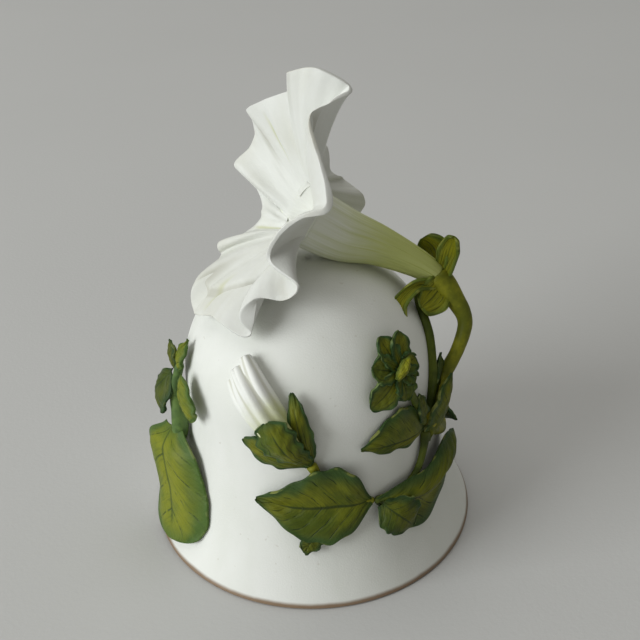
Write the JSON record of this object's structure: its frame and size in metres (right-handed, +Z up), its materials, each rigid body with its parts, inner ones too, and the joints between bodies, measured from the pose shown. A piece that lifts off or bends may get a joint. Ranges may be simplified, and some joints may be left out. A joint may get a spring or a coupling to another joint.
{
  "type": "porcelain table bell",
  "caption": "Flared porcelain table bell with an applied trumpet flower over the crown, a looped stalk handle, applied leaves and bud, and a swinging clapper on a swivel.",
  "frame": {"origin": "centre of the rim, in the plane that the bell stands on", "axes": "+Z up along the bell's own axis; -Y is the front, with the bud and the front leaf; the looped handle is at +X"},
  "size_m": [0.08, 0.08, 0.1149],
  "materials": {
    "bisque": "unglazed matte bisque porcelain, faint sheen on the lip",
    "petal_white": "matte bisque, yellow-green painted midribs",
    "trumpet": "matte bisque shaded yellow-green towards the calyx",
    "leaf": "matte hand-painted olive with darker edges and incised veins",
    "leaf_dark": "matte hand-painted dark green with incised veins",
    "stalk": "matte hand-painted olive green",
    "brass": "plain drawn brass"
  },
  "bodies": {
    "bell": {"bell_skirt": "bisque", "bell_dome": "bisque", "bell_crown": "bisque", "flower_pad": "bisque", "trumpet": "trumpet", "petal_top": "petal_white", "petal_far": "petal_white", "petal_left": "petal_white", "petal_lower": "petal_white", "petal_near": "petal_white", "petal_back": "petal_white", "sepal_left": "leaf", "sepal_right": "leaf", "sepal_front": "leaf", "sepal_hanging": "leaf", "sepal_back": "leaf_dark", "handle_stalk": "stalk", "back_stalk": "stalk", "axil_leaf": "leaf", "axil_leaf_inner": "leaf_dark", "axil_leaf_back": "leaf_dark", "mid_leaf": "leaf", "rosette_stalk": "stalk", "rosette_leaf_1": "leaf", "rosette_leaf_2": "leaf_dark", "rosette_leaf_3": "leaf", "rosette_leaf_4": "leaf_dark", "rosette_leaf_5": "leaf", "rosette_leaf_6": "leaf_dark", "rosette_leaf_7": "leaf", "lower_stalk": "stalk", "folded_leaf": "leaf", "front_leaf": "leaf", "bud_stalk": "stalk", "bud": "petal_white", "bud_sepal_left": "leaf_dark", "bud_sepal_mid": "leaf", "bud_sepal_right": "leaf_dark", "left_stalk": "stalk", "sprig_leaf_1": "leaf", "sprig_leaf_2": "leaf_dark", "left_leaf_dark": "leaf_dark", "left_leaf_light": "leaf", "hanging_leaf": "leaf", "tucked_leaf": "leaf_dark", "back_vine": "stalk", "right_back_leaf": "leaf_dark", "back_leaf_1": "leaf", "back_leaf_2": "leaf", "back_leaf_3": "leaf_dark", "swivel_bush": "brass"},
    "swivel": {"swivel_eye": "brass"},
    "clapper": {"clapper_wire": "brass", "clapper_ball": "bisque"}
  },
  "joints": [
    {"name": "clapper_turn", "type": "hinge", "parent": "bell", "child": "swivel", "pos_m": [0, 0, 0.0595], "axis": [0, 0, 1], "continuous": true},
    {"name": "clapper_swing", "type": "hinge", "parent": "swivel", "child": "clapper", "pos_m": [0, 0, 0.055], "axis": [0, 1, 0], "range_deg": [-32, 32]}
  ]
}
